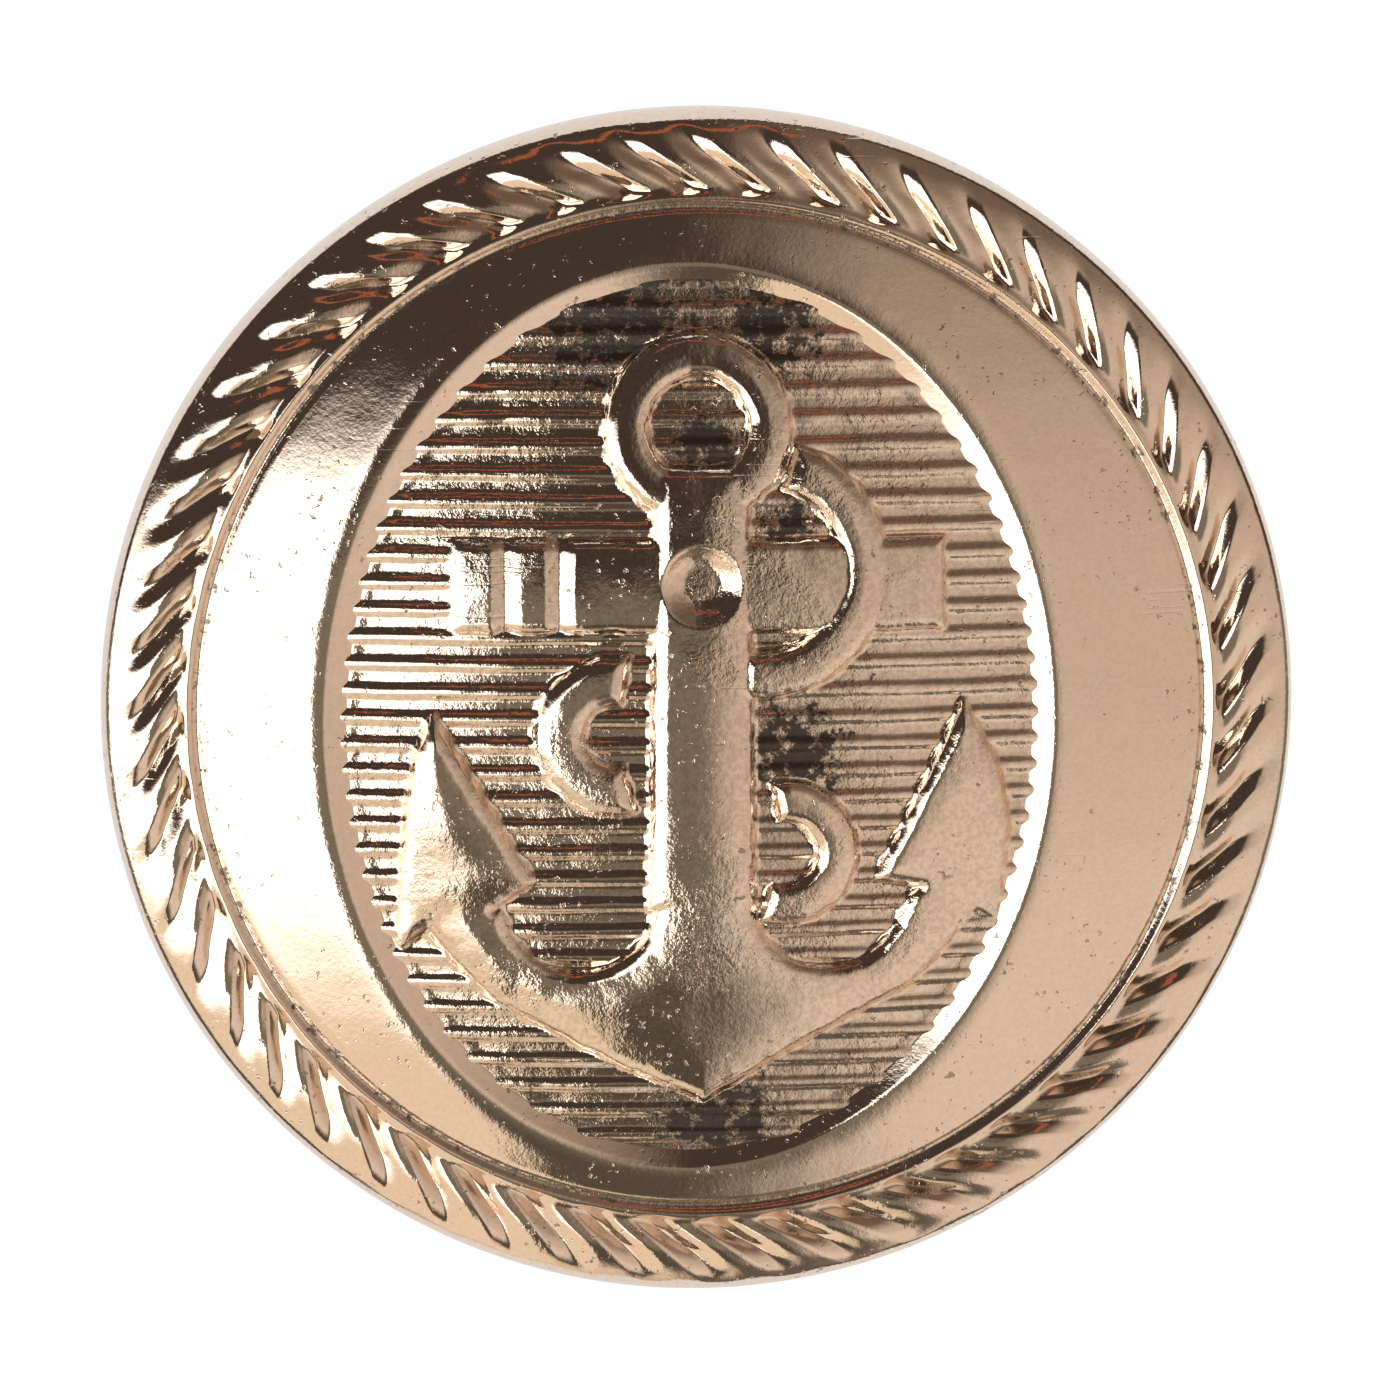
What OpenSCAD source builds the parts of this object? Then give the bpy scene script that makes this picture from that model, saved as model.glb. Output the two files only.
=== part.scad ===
// A two-part shank button: a stamped metal shell crimped round a back plate, with a wire
// loop clinched through the back for the thread. The face looks along -Y with the anchor
// upright along +Z, and the origin is the middle of the wire eye. Each module works face up,
// with z = 0 where the back rests on the cloth, and in_frame() turns it and moves it.

/* [Button] */
// Diameter of the face over the rope border
button_d = 23; // [22:0.5:28]
// Height of the crimped lip's outer face above the cloth
lip_h = 0.6; // [0.4:0.1:1]
// Height of the straight side wall, between the lip's bend and the rope border
wall_h = 1; // [0.6:0.1:1.6]

/* [Front shell] */
// Sheet thickness of the shell
shell_t = 0.4; // [0.3:0.05:0.5]
// Outer radius of the bend between the side wall and the lip
bend_r = 0.7; // [0.6:0.05:0.9]
// How far the crimped lip reaches in under the back plate
lip_w = 1.5; // [1.2:0.1:2]
// Width of the rope border
rope_w = 1.66; // [1.5:0.02:1.9]
// Strands in the rope border
strand_count = 52; // [36:1:60]
// Depth of the cut between two strands
strand_cut = 0.22; // [0.1:0.02:0.3]
// Angle between a strand and the radius
strand_lean = 38; // [20:1:50]
// Width of the plain groove between the rope border and the dome
groove_w = 0.24; // [0.15:0.01:0.4]
// Depth of that groove below the crest of the rope border
groove_h = 0.51; // [0.45:0.01:0.6]
// Rise of the dome above the groove
dome_rise = 1.55; // [1.2:0.05:1.8]

/* [Oval field] */
// Width of the sunk oval
oval_w = 14.4; // [12:0.1:15]
// Height of the sunk oval
oval_h = 17.7; // [15:0.1:18.2]
// Depth of the oval below the dome
oval_sink = 0.35; // [0.3:0.05:0.5]
// Width of the plain wall round the oval
oval_wall = 0.35; // [0.3:0.05:0.5]
// Distance from one rib to the next
rib_pitch = 0.52; // [0.45:0.01:0.8]
// Height of a rib
rib_h = 0.09; // [0.04:0.01:0.12]

/* [Anchor] */
// Height of the whole anchor, from the top of its ring to the tip of its crown
anchor_h = 14.6; // [12:0.1:15]
// Relief of the anchor above the oval field
anchor_relief = 0.32; // [0.2:0.02:0.4]

/* [Back plate] */
// Sheet thickness of the back plate
back_t = 0.4; // [0.3:0.05:0.5]
// Depth of the round dimple that the wire comes out of
dimple_h = 0.3; // [0.2:0.05:0.4]
// Width of the dimple's floor outside the washer
dimple_rim = 0.3; // [0.2:0.05:0.5]
// Width of the flat ring round the dimple, which rests on the cloth
seat_w = 1.5; // [1.2:0.1:2]
// Radius of the pressed stiffening bead
bead_r = 0.35; // [0.25:0.05:0.4]
// Diameter of the circle that the bead follows
bead_d = 15.4; // [15:0.1:16]

/* [Wire shank] */
// Diameter of the wire
wire_d = 1.25; // [1:0.05:1.5]
// Width of the eye between the two legs
eye_w = 2.95; // [2.5:0.05:3.2]
// Height of the eye, from the back plate to the inside of the bow
eye_h = 3.7; // [3.2:0.1:4.5]
// Length of each clinched end, past its bend
clinch_l = 0.5; // [0.3:0.1:0.8]
// Radius of the wire's middle where an end is bent over
clinch_r = 0.75; // [0.75:0.05:0.9]

/* [Filler and washer] */
// Inner diameter of the card ring
filler_bore = 9.6; // [9:0.1:11]
// Thickness of the clinch washer
washer_t = 0.4; // [0.3:0.05:0.5]
// Width of the washer outside the wire on each side
washer_rim = 0.6; // [0.4:0.05:0.8]

/* [Fits] */
// Gap round the wire in the holes of the back plate and the washer
wire_gap = 0.04; // [0.02:0.01:0.08]
// Gap between the shell's side wall and what sits inside it
wall_gap = 0.05; // [0.03:0.01:0.1]
// Gap between the card ring and the lowest part of the shell above it
card_gap = 0.06; // [0.03:0.01:0.1]

/* [Hidden] */
$fn = 96;
overlap = 0.1;              // how far joined shapes run into each other
gold = [0.86, 0.65, 0.52];

// Shell: radii from the axis and heights above the cloth.
rim_r = button_d / 2;
wall_r = rim_r - shell_t;              // inside of the side wall
lip_top = lip_h + shell_t;             // inner face of the lip
shoulder_z = lip_h + bend_r + wall_h;  // middle of the rope border's section
rope_r = rope_w / 2;
rope_mid_r = rim_r - rope_r;
rope_top_z = shoulder_z + rope_r;
groove_z = rope_top_z - groove_h;
// where the rope border's round section comes down to the groove
rope_foot_a = 180 - asin((groove_z + overlap - shoulder_z) / rope_r);
dome_r = rope_mid_r + rope_r * cos(rope_foot_a) - groove_w;
sphere_r = (dome_r * dome_r + dome_rise * dome_rise) / (2 * dome_rise);
sphere_z = groove_z + dome_rise - sphere_r;
field_r = sphere_r - oval_sink;        // radius of the sunk field's surface

// Wire, washer and the back plate round them.
leg_x = (eye_w + wire_d) / 2;
hole_r = wire_d / 2 + wire_gap;
washer_r = leg_x + wire_d / 2 + washer_rim;
washer_z = dimple_h + back_t;
clinch_z = washer_z + washer_t;        // face that the bent wire ends grip
bent_z = clinch_z + wire_d / 2;        // middle of a bent end
arch_z = dimple_h - eye_h + eye_w / 2; // middle of the bow's half circle
eye_z = dimple_h - eye_h / 2;          // middle of the eye
floor_r = washer_r + dimple_rim;
seat_in_r = floor_r + dimple_h;        // the dimple's side slopes at 45 degrees
seat_r = seat_in_r + seat_w;
back_lift = lip_top;                   // the flange lies on the lip
flange_r = wall_r - wall_gap;
flange_in_r = rim_r - lip_w;
bead_foot_z = back_lift * (bead_d / 2 - seat_r) / (flange_in_r - seat_r);

// Card ring: it fills the space between the flange and the lowest part of the shell.
filler_z = back_lift + back_t;
field_low_z = sphere_z + sqrt(pow(field_r - shell_t, 2) - pow(oval_h / 2, 2));
filler_t = min(groove_z - shell_t, field_low_z) - card_gap - filler_z;

// Points along an arc about c, from angle a0 to a1.
function arc(c, r, a0, a1, n) =
    [for (i = [0 : n]) c + r * [for (f = [0, 1]) let (a = a0 + (a1 - a0) * i / n) f ? sin(a) : cos(a)]];

// One face of the rim's sheet, inset from the outside, from the lip round to the dome.
function rim_face(inset) = concat(
    [[rim_r - lip_w, lip_h + inset]],
    arc([rim_r - bend_r, lip_h + bend_r], bend_r - inset, -90, 0, 5),
    arc([rim_r - rope_r, shoulder_z], rope_r - inset, 0, rope_foot_a, 10),
    [[dome_r + groove_w / 2, groove_z - inset], [dome_r, groove_z - inset]]);

function reversed(v) = [for (i = [len(v) - 1 : -1 : 0]) v[i]];

function ellipse(w, h, n) = [for (i = [0 : n - 1]) [w / 2 * cos(360 * i / n), h / 2 * sin(360 * i / n)]];

module in_frame() {
    rotate([90, 0, 0]) translate([0, 0, -eye_z]) children();
}

// ---- front shell ----

module front_shell() {
    color(gold) in_frame() {
        roped_rim();
        difference() {
            spherical_sheet(sphere_r, shell_t, dome_r + overlap);
            oval_prism(oval_w, oval_h);
        }
        oval_wall_ring();
        sunk_sheet();
        ribs();
        anchor();
    }
}

module roped_rim() {
    difference() {
        rotate_extrude() polygon(concat(rim_face(0), reversed(rim_face(shell_t))));
        for (i = [0 : strand_count - 1]) rotate(360 * i / strand_count) strand_cutter();
    }
}

// A V-shaped bar across the crest of the rope border.
module strand_cutter() {
    translate([rope_mid_r, 0, rope_top_z]) rotate([0, 0, strand_lean]) rotate([90, 0, 90])
        linear_extrude(2 * rope_w, center = true)
            polygon([[-strand_cut, overlap], [strand_cut, overlap], [0, -strand_cut]]);
}

module spherical_sheet(r, t, reach) {
    intersection() {
        translate([0, 0, sphere_z]) difference() {
            sphere(r);
            sphere(r - t);
        }
        cylinder(h = 2 * sphere_r, r = reach);
    }
}

module oval_prism(w, h) {
    linear_extrude(2 * sphere_r) polygon(ellipse(w, h, 60));
}

// The plain wall between the dome and the sunk field.
module oval_wall_ring() {
    intersection() {
        translate([0, 0, sphere_z]) difference() {
            sphere(sphere_r);
            sphere(field_r - shell_t / 2);
        }
        difference() {
            oval_prism(oval_w + overlap, oval_h + overlap);
            translate([0, 0, -1]) oval_prism(oval_w - 2 * oval_wall, oval_h - 2 * oval_wall);
        }
    }
}

// The sheet under the ribs. Its top lies below the valleys between them.
module sunk_sheet() {
    intersection() {
        translate([0, 0, sphere_z]) difference() {
            sphere(field_r - shell_t / 4);
            sphere(field_r - shell_t);
        }
        oval_prism(oval_w - overlap, oval_h - overlap);
    }
}

// The field follows the dome, so its ribs are rings about an upright axis through the
// dome's centre.
rib_rows = 2 * ceil(oval_h / 2 / rib_pitch) + 2;
rib_low = -rib_rows / 2 * rib_pitch;
rib_reach_a = asin(oval_w / 2 / (field_r - oval_sink)) + 1;

function on_field(y, h) = [sqrt(field_r * field_r - y * y) + h, y];

function rib_crests() = [for (i = [0 : rib_rows - 1], s = [[0.02, 0], [0.32, 1], [0.68, 1], [0.98, 0]])
    on_field(rib_low + (i + s[0]) * rib_pitch, s[1] * rib_h)];

function rib_roots() = [for (i = [0 : 8]) on_field(-rib_low * (1 - i / 4), -shell_t / 2)];

module ribs() {
    intersection() {
        translate([0, 0, sphere_z]) rotate([90, 0, 0])
            rotate_extrude(angle = 2 * rib_reach_a, start = 90 - rib_reach_a)
                polygon(concat(rib_crests(), rib_roots()));
        oval_prism(oval_w - oval_wall, oval_h - oval_wall);
    }
}

// ---- anchor ----

anchor_unit = anchor_h / 14.6;   // the outline below is drawn 14.6 high, about the oval's middle

module anchor() {
    raised(1) shaft_2d();
    raised(0.92) arms_2d();
    raised(0.84) stock_2d();
    raised(0.76) {
        ring_2d([0, 5.2], 1.9, 1);
        rope_coils_2d();
    }
}

// Stands an outline up from the field to a share of the anchor's relief.
module raised(share) {
    intersection() {
        translate([0, 0, sphere_z]) difference() {
            sphere(field_r + share * anchor_relief);
            sphere(field_r - shell_t / 2);
        }
        linear_extrude(2 * sphere_r) scale(anchor_unit) children();
    }
}

module shaft_2d() {
    difference() {
        polygon([[-0.88, 4.5], [0.88, 4.5], [1, -5], [-1, -5]]);
        translate([0, 2.25]) circle(0.7);
    }
}

// The bar across the top, cut into blocks.
module stock_2d() {
    difference() {
        translate([-4.95, 1.4]) square([9.65, 1.45]);
        for (x = [-3.9, -2.85, 3.45]) translate([x, 1]) square([0.12, 2]);
        square([1.9, 6], center = true);
    }
}

module ring_2d(c, outer, inner) {
    translate(c) difference() {
        circle(outer);
        circle(inner);
    }
}

// The rope passes behind the shaft, so only its coils beside the shaft show.
module rope_coils_2d() {
    coil_2d([1.1, 2.6], 2.45, 1.6, 0.5);
    coil_2d([-1.65, -0.55], 1.5, 0.6, -6.5);
    coil_2d([1.6, -2.85], 1.4, 0.65, 0.5);
}

// The part of a coil from x on.
module coil_2d(c, outer, inner, x) {
    intersection() {
        ring_2d(c, outer, inner);
        translate([x, -8]) square([6, 16]);
    }
}

// Two arms meet in the pointed crown, and each ends in a barbed fluke.
module arms_2d() {
    arm_2d();
    mirror([1, 0]) arm_2d();
}

module arm_2d() {
    polygon(concat(
        [[0, -7.5], [1.7, -6.6], [3.05, -6.1], [4, -5.65], [4.85, -4.75], [5.25, -4.25], [5.8, -4.65],
         [5.85, -3.4], [5.75, -1.9], [5.5, -0.8], [5.15, 0], [3.25, -3.4], [4, -3.75]],
        arc([2.25, -3.7], 1.5, -10, -165, 12),
        [[0, -4.1]]));
}

// ---- back plate ----

// One face of the back plate's sheet, from the axis to the flange.
function back_face(lift) = concat(
    [[0, dimple_h + lift], [floor_r, dimple_h + lift], [seat_in_r, lift], [seat_r, lift]],
    arc([bead_d / 2, bead_foot_z + lift], bead_r, 180, 0, 6),
    [[flange_in_r, back_lift + lift], [flange_r, back_lift + lift]]);

module back_plate() {
    color(gold) in_frame() difference() {
        rotate_extrude() polygon(concat(back_face(0), reversed(back_face(back_t))));
        wire_holes(hole_r);
    }
}

module wire_holes(r) {
    for (x = [-leg_x, leg_x]) translate([x, 0, -overlap]) cylinder(h = clinch_z + 2 * overlap, r = r);
}

// ---- wire shank ----

module wire_shank() {
    color([0.84, 0.68, 0.55]) in_frame() {
        translate([0, 0, arch_z]) rotate([-90, 0, 0]) rotate_extrude(angle = 180, start = 0)
            translate([leg_x, 0]) circle(wire_d / 2);
        for (turn = [0, 180]) rotate(turn) leg();
    }
}

// One leg, bent over where it comes out of the washer.
module leg() {
    translate([leg_x, 0, arch_z]) cylinder(h = bent_z - clinch_r - arch_z, d = wire_d);
    translate([leg_x + clinch_r, 0, bent_z - clinch_r]) rotate([90, 0, 0])
        rotate_extrude(angle = 90, start = 90) translate([clinch_r, 0]) circle(wire_d / 2);
    translate([leg_x + clinch_r, 0, bent_z]) rotate([0, 90, 0]) cylinder(h = clinch_l, d = wire_d);
}

// ---- inside ----

// The washer's holes leave room for the bends.
module clinch_washer() {
    color("silver") in_frame() difference() {
        translate([0, 0, washer_z]) cylinder(h = washer_t, r = washer_r);
        wire_holes(clinch_r);
    }
}

module filler_ring() {
    color([0.72, 0.62, 0.46]) in_frame() translate([0, 0, filler_z]) difference() {
        cylinder(h = filler_t, r = flange_r);
        translate([0, 0, -overlap]) cylinder(h = filler_t + 2 * overlap, d = filler_bore);
    }
}

front_shell();
filler_ring();
back_plate();
clinch_washer();
wire_shank();
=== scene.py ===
"""The looks of a stamped shank button: its polished face, crimped rim, back, wire and inside."""
import math

import bmesh
import bpy
import numpy as np
from mathutils import Matrix, Vector


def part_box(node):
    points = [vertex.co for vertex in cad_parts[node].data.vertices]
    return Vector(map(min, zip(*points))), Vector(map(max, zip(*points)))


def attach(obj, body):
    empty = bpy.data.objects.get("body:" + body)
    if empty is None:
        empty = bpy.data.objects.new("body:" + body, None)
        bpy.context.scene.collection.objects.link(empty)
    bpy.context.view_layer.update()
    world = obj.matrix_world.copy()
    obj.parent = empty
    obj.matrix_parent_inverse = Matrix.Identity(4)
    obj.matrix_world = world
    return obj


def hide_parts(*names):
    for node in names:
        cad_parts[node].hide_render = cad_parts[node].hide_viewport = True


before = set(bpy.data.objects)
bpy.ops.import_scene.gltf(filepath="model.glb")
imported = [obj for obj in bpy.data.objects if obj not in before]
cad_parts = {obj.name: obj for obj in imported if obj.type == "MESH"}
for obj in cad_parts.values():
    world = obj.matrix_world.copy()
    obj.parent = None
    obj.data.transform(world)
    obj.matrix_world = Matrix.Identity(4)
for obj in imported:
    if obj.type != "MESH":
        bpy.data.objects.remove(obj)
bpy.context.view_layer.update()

# ---------------------------------------------------------------------------
# Sizes in millimetres. A height is measured from the cloth side of the back plate, and a
# place on the face is (across, up) from the middle.

MM = 0.001
TAU = 2 * math.pi
random = np.random.default_rng(17)

shell_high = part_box("front_shell")[1]
plate_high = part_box("back_plate")[1]
wire_low, wire_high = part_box("wire_shank")
washer_low, washer_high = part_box("clinch_washer")
card_low, card_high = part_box("filler_ring")
SEAT_Y = plate_high[1] / MM                    # the back rests on the cloth here

RIM_R = shell_high[0] / MM
LIP_H = SEAT_Y - shell_high[1] / MM
SHEET_T = 0.4
BEND_R = 0.7
LIP_W = 1.5
DOME_EDGE_R = 9.48                             # the dome ends here, at the groove
DOME_EDGE_H = 2.70
DOME_R = 31.2                                  # radius of the dome's surface
DOME_Z = DOME_EDGE_H - math.sqrt(DOME_R ** 2 - DOME_EDGE_R ** 2)
OVAL_TOP = (6.98, 8.72)                        # half width and height at the dome's surface
OVAL_FOOT = (6.52, 8.37)                       # and at the sunk field
OVAL_BLANK = (6.79, 8.63)                      # edge of the field's sheet, inside the wall
SINK = 0.3
OVAL_SHIFT = (-0.27, -0.15)                    # the oval is struck a little off the middle,
ANCHOR_SHIFT = (-0.12, 0.28)                   # and so is the anchor
FIELD_R = DOME_R - SINK
FIELD_SKIRT = 0.24                             # how far the field's sheet reaches down
STRANDS = 52
RIB_PITCH = 0.517
RIB_ROWS = 12                                  # rows of the field's mesh on one rib
BREAK = 0.05                                   # bevel on a cut edge
SHARP_EDGE = 35                                # degrees


def dome_h(r):
    return DOME_Z + np.sqrt(DOME_R ** 2 - r ** 2)


def field_h(r):
    return DOME_Z + np.sqrt(FIELD_R ** 2 - r ** 2)


def place(across, up, height):
    """Points of the row frame, in metres."""
    return np.stack([across, SEAT_Y - height, up], axis=-1) * MM


# ---------------------------------------------------------------------------
# Meshes

def make_piece(name, points, faces, sharp=None):
    mesh = bpy.data.meshes.new(name)
    mesh.from_pydata(np.asarray(points, float).reshape(-1, 3).tolist(), [], faces)
    mesh.validate()
    mesh.update()
    mesh.shade_smooth()
    if sharp:
        mesh.set_sharp_from_angle(angle=math.radians(sharp))
    piece = bpy.data.objects.new(name, mesh)
    bpy.context.scene.collection.objects.link(piece)
    return piece


def grid_faces(rows, columns, wrap_rows=False, wrap_columns=True):
    """Quads of a grid whose points are numbered row by row."""
    faces = []
    for i in range(rows if wrap_rows else rows - 1):
        a, b = i * columns, (i + 1) % rows * columns
        for j in range(columns if wrap_columns else columns - 1):
            k = (j + 1) % columns
            faces.append((a + j, b + j, b + k, a + k))
    return faces


def outward(piece):
    """Turns every face of a closed mesh outwards."""
    work = bmesh.new()
    work.from_mesh(piece.data)
    bmesh.ops.recalc_face_normals(work, faces=work.faces)
    work.to_mesh(piece.data)
    work.free()
    return piece


def keep_on_points(piece, name, values):
    """Stores one value for each point of a piece, for its die or its material."""
    layer = piece.data.attributes.new(name, "FLOAT", "POINT")
    layer.data.foreach_set("value", np.asarray(values, np.float32))


def coat(piece, finish):
    """Gives a piece one material."""
    piece.data.materials.clear()
    piece.data.materials.append(finish)


def spin(name, section, steps=288, sharp=SHARP_EDGE):
    """Spins a section, a list of (radius, height), about the button's axis. A section that
    starts and ends on the axis is closed by two poles, and any other is a closed ring."""
    section = np.asarray(section, float)
    angle = np.arange(steps) / steps * TAU
    poles = section[0][0] < 1e-6
    rings = section[1:-1] if poles else section
    r, h = rings[:, :1], rings[:, 1:]
    points = place(r * np.cos(angle), r * np.sin(angle), h + 0 * angle).reshape(-1, 3)
    faces = grid_faces(len(rings), steps, wrap_rows=not poles)
    if poles:
        ends = place(np.zeros(2), np.zeros(2), section[[0, -1], 1])
        points = np.vstack([points, ends])
        first, last = len(points) - 2, len(points) - 1
        top = (len(rings) - 1) * steps
        for j in range(steps):
            k = (j + 1) % steps
            faces.append((first, j, k))
            faces.append((last, top + k, top + j))
    return outward(make_piece(name, points, faces, sharp))


def arc(centre, radius, start, end, count):
    a = np.radians(np.linspace(start, end, count))
    return np.stack([centre[0] + radius * np.cos(a), centre[1] + radius * np.sin(a)], axis=-1)


def smooth_line(points, count):
    """A smooth curve through points, evenly spaced along its length."""
    p = np.asarray(points, float)
    padded = np.vstack([2 * p[0] - p[1], p, 2 * p[-1] - p[-2]])
    fine = []
    for i in range(len(p) - 1):
        a, b, c, d = padded[i:i + 4]
        t = np.linspace(0, 1, 24, endpoint=False)[:, None]
        fine.append(0.5 * (2 * b + (c - a) * t + (2 * a - 5 * b + 4 * c - d) * t ** 2
                           + (3 * b - a - 3 * c + d) * t ** 3))
    fine = np.vstack(fine + [p[-1:]])
    run = np.concatenate([[0], np.cumsum(np.linalg.norm(np.diff(fine, axis=0), axis=1))])
    at = np.linspace(0, run[-1], count)
    return np.stack([np.interp(at, run, fine[:, k]) for k in range(p.shape[1])], axis=-1)


# ---------------------------------------------------------------------------
# Node trees. Arithmetic on a Term adds Math nodes to its tree.

class Term:
    def __init__(self, graph, socket):
        self.graph = graph
        self.socket = socket

    def math(self, operation, *values):
        inputs = dict(enumerate((self,) + values))
        return self.graph.add("ShaderNodeMath", {"operation": operation}, inputs)

    def __add__(self, other): return self.math("ADD", other)
    def __radd__(self, other): return self.math("ADD", other)
    def __sub__(self, other): return self.math("SUBTRACT", other)
    def __rsub__(self, other): return self.graph.number("SUBTRACT", other, self)
    def __mul__(self, other): return self.math("MULTIPLY", other)
    def __rmul__(self, other): return self.math("MULTIPLY", other)
    def __truediv__(self, other): return self.math("DIVIDE", other)
    def __pow__(self, other): return self.math("POWER", other)
    def __neg__(self): return self.math("MULTIPLY", -1.0)

    def abs(self): return self.math("ABSOLUTE")
    def sin(self): return self.math("SINE")
    def sqrt(self): return self.math("SQRT")
    def frac(self): return self.math("FRACT")
    def max(self, other): return self.math("MAXIMUM", other)
    def min(self, other): return self.math("MINIMUM", other)

    def clamp(self, low=0.0, high=1.0):
        return self.max(low).min(high)

    def ramp(self, start, end):
        """0 at start, 1 at end, and smooth between."""
        t = ((self - start) / (end - start)).clamp()
        return t * t * (3.0 - 2.0 * t)


class Graph:
    def __init__(self, tree):
        self.tree = tree

    def add(self, kind, settings=None, inputs=None, out=0):
        """Adds a node, sets it, then sets or links its sockets, and returns one output."""
        node = self.tree.nodes.new(kind)
        for key, value in (settings or {}).items():
            setattr(node, key, value)
        for key, value in (inputs or {}).items():
            if isinstance(value, Term):
                self.tree.links.new(value.socket, node.inputs[key])
            else:
                node.inputs[key].default_value = value
        return Term(self, node.outputs[out])

    def number(self, operation, first, second):
        return self.add("ShaderNodeMath", {"operation": operation}, {0: first, 1: second})

    def split(self, vector):
        node = self.add("ShaderNodeSeparateXYZ", None, {0: vector}).socket.node
        return [Term(self, socket) for socket in node.outputs]

    def join(self, x=0.0, y=0.0, z=0.0):
        return self.add("ShaderNodeCombineXYZ", None, {0: x, 1: y, 2: z})

    def noise(self, at, size, detail=2.0, roughness=0.5):
        """Noise from 0 to 1 whose features are about size across, in the units of at."""
        return self.add("ShaderNodeTexNoise", None, {
            "Vector": at, "Scale": 1.0 / size, "Detail": detail, "Roughness": roughness})

    def mix(self, amount, first, second):
        """Mixes two colours."""
        inputs = {0: amount, 6: first, 7: second}
        return self.add("ShaderNodeMix", {"data_type": "RGBA"}, inputs, out=2)

    def stretch(self, vector, scale=(1, 1, 1), turn=(0, 0, 0)):
        return self.add("ShaderNodeMapping", None,
                        {"Vector": vector, "Scale": scale, "Rotation": turn})


def rgb(r, g, b):
    return (r, g, b, 1.0)


# ---------------------------------------------------------------------------
# Materials. The size of a noise and the depth of a bump are in metres.

FINE = 0.00002                                 # depth of the marks on polished metal


def material(name, **fixed):
    """A material with a Principled shader, whose fixed values are set on its own sockets."""
    made = bpy.data.materials.new(name)
    made.use_nodes = True
    graph = Graph(made.node_tree)
    shader = made.node_tree.nodes["Principled BSDF"]
    for key, value in fixed.items():
        shader.inputs[key.replace("_", " ").title()].default_value = value
    graph.shader = shader
    return made, graph


def finish_material(graph, **links):
    for key, value in links.items():
        socket = graph.shader.inputs[key.replace("_", " ").title()]
        graph.tree.links.new(value.socket, socket)


def bump(graph, height, strength, depth):
    return graph.add("ShaderNodeBump", None,
                     {"Height": height, "Strength": strength, "Distance": depth})


def stored(graph, name):
    return graph.add("ShaderNodeAttribute", {"attribute_name": name}, out=2)


def object_place(graph):
    return graph.add("ShaderNodeTexCoord", out=3)


def hairlines(graph, at, turn, cover):
    """Fine straight scratches in one direction, each about 2 mm long, in patches."""
    along = graph.stretch(at, (420.0, 420.0, 15000.0), (0.0, turn, 0.0))
    lines = graph.add("ShaderNodeTexNoise", None, {"Vector": along, "Scale": 1.0, "Detail": 0.0})
    patch = graph.noise(at, 0.0031, 1.0)
    return lines.ramp(0.70, 0.78) * patch.ramp(1.0 - cover, 1.02 - cover)


def rose_gold(name, roughness, peel, stain_and_shade_reach, speckle, mottling):
    """Bright plated metal with orange peel, pits, hairline scratches, and darkening from a stored
    value: real tarnish on the field, painted shade in the rim's groove and rope valleys.
    """
    made, g = material(name)
    at = object_place(g)
    hollow = stored(g, "hollow")
    cloud = g.noise(at, 0.0042, 3.0)
    smear = g.noise(at, 0.0011, 1.0, 0.5)
    grain = g.noise(at, 0.00010, 2.0, 0.65)
    fleck = g.noise(at, 0.00016, 2.0, 0.6)
    spots = g.noise(at, 0.00032, 3.0, 0.75)
    mottle = g.noise(at, 0.00022, 3.0, 0.7)
    scratches = hairlines(g, at, 0.7, 0.36).max(hairlines(g, at, -0.9, 0.34))
    # painted shade and tarnish: near black where the stored value is high, which is painted shade in
    # the rim's groove and rope valleys and real tarnish on the field's spots
    stain_and_painted_shade = (hollow * 0.42 + spots).ramp(0.76, 0.88) * stain_and_shade_reach
    pits = fleck.ramp(0.64, 0.72) * smear.ramp(0.40, 0.60)
    verdigris = g.noise(at, 0.0027, 2.0).ramp(0.62, 0.72) * grain.ramp(0.45, 0.6)
    matt = hollow.max(g.noise(at, 0.0024, 2.0).ramp(0.46, 0.62) * mottling)
    colour = g.mix(cloud.ramp(0.35, 0.65), rgb(0.95, 0.78, 0.65), rgb(0.95, 0.80, 0.67))
    for amount, shade in (((grain.ramp(0.38, 0.62) * speckle).clamp(), rgb(0.36, 0.31, 0.25)),
                          (verdigris * 0.35, rgb(0.62, 0.74, 0.70)),
                          (pits * 0.55, rgb(0.16, 0.12, 0.08)),
                          (stain_and_painted_shade * 0.92, rgb(0.030, 0.022, 0.018)),
                          (scratches * 0.35, rgb(0.98, 0.90, 0.80))):
        colour = g.mix(amount, colour, shade)
    rough = roughness + smear * 0.05 + pits * 0.25 + stain_and_painted_shade * 0.35 + scratches * 0.12
    relief = grain * 0.22 + smear * 1.2 + mottle * matt * 1.6 - pits * 0.5 - scratches * 0.2
    finish_material(g, base_color=colour, roughness=rough.clamp(0.0, 0.8),
                    metallic=1.0 - stain_and_painted_shade * 0.2, normal=bump(g, relief, peel, FINE))
    return made


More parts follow.
